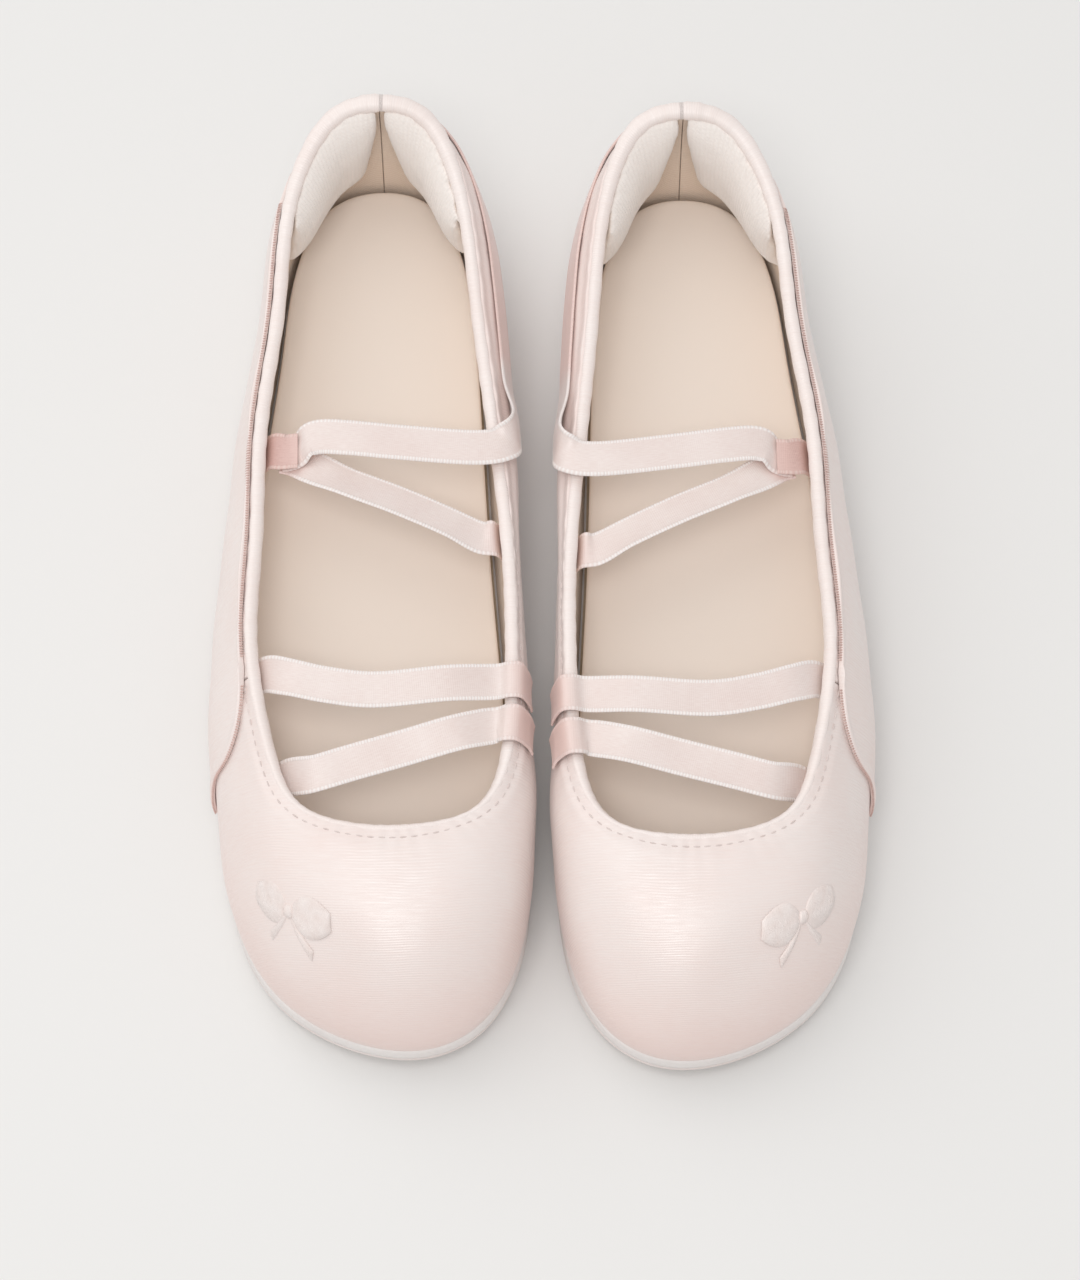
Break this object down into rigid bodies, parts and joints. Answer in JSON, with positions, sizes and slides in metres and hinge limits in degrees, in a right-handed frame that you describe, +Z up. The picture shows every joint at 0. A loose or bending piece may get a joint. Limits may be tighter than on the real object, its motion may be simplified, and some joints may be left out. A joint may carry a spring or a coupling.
{
  "type": "ballet slipper",
  "caption": "Low satin ballet slippers with crossed elastic bands over an open instep, a soft padded heel collar, a textile footbed and a thin rubber sole.",
  "frame": {"origin": "centre of the pair's footprint, on the ground", "axes": "+Z up; the toes point along -Y and the heels along +Y; +X towards the left-foot slipper"},
  "size_m": [0.1744, 0.2576, 0.0632],
  "materials": {
    "satin": "fine-ribbed satin",
    "rubber": "matt",
    "foam": "matt foam",
    "board": "fibre board",
    "footbed_foam": "open foam",
    "footbed_textile": "cross-ribbed textile",
    "stiffener": "moulded sheet",
    "lining": "plain textile",
    "knit": "brushed knit",
    "elastic": "satin elastic",
    "embroidery": "satin stitch"
  },
  "bodies": {
    "right_slipper": {"right_outsole": "rubber", "right_midsole": "foam", "right_insole_board": "board", "right_vamp": "satin", "right_quarter_outer": "satin", "right_quarter_inner": "satin", "right_toe_puff": "stiffener", "right_heel_counter": "stiffener", "right_vamp_lining": "lining", "right_quarter_lining_outer": "lining", "right_quarter_lining_inner": "lining", "right_collar_pad_outer": "knit", "right_collar_pad_inner": "knit", "right_topline_binding": "satin", "right_side_overlay": "satin", "right_heel_seam_tape": "satin", "right_band_rear_cross": "elastic", "right_band_rear_diagonal": "elastic", "right_band_anchor_tab": "elastic", "right_band_front_cross": "elastic", "right_band_front_diagonal": "elastic", "right_toe_motif": "embroidery"},
    "left_slipper": {"left_outsole": "rubber", "left_midsole": "foam", "left_insole_board": "board", "left_vamp": "satin", "left_quarter_outer": "satin", "left_quarter_inner": "satin", "left_toe_puff": "stiffener", "left_heel_counter": "stiffener", "left_vamp_lining": "lining", "left_quarter_lining_outer": "lining", "left_quarter_lining_inner": "lining", "left_collar_pad_outer": "knit", "left_collar_pad_inner": "knit", "left_topline_binding": "satin", "left_side_overlay": "satin", "left_heel_seam_tape": "satin", "left_band_rear_cross": "elastic", "left_band_rear_diagonal": "elastic", "left_band_anchor_tab": "elastic", "left_band_front_cross": "elastic", "left_band_front_diagonal": "elastic", "left_toe_motif": "embroidery"},
    "right_footbed": {"right_footbed_foam": "footbed_foam", "right_footbed_cover": "footbed_textile"},
    "left_footbed": {"left_footbed_foam": "footbed_foam", "left_footbed_cover": "footbed_textile"}
  },
  "joints": [
    {"name": "left_slipper_lift", "type": "slide", "parent": "right_slipper", "child": "left_slipper", "axis": [0, 0, 1], "range_m": [0, 0.12]},
    {"name": "right_footbed_turn", "type": "hinge", "parent": "right_slipper", "child": "right_footbed", "pos_m": [-0.0385, -0.1175, 0.0165], "axis": [1, 0, 0], "range_deg": [0, 1.2]},
    {"name": "left_footbed_turn", "type": "hinge", "parent": "left_slipper", "child": "left_footbed", "pos_m": [0.0385, -0.1213, 0.0165], "axis": [1, 0, 0], "range_deg": [0, 1.2]}
  ]
}
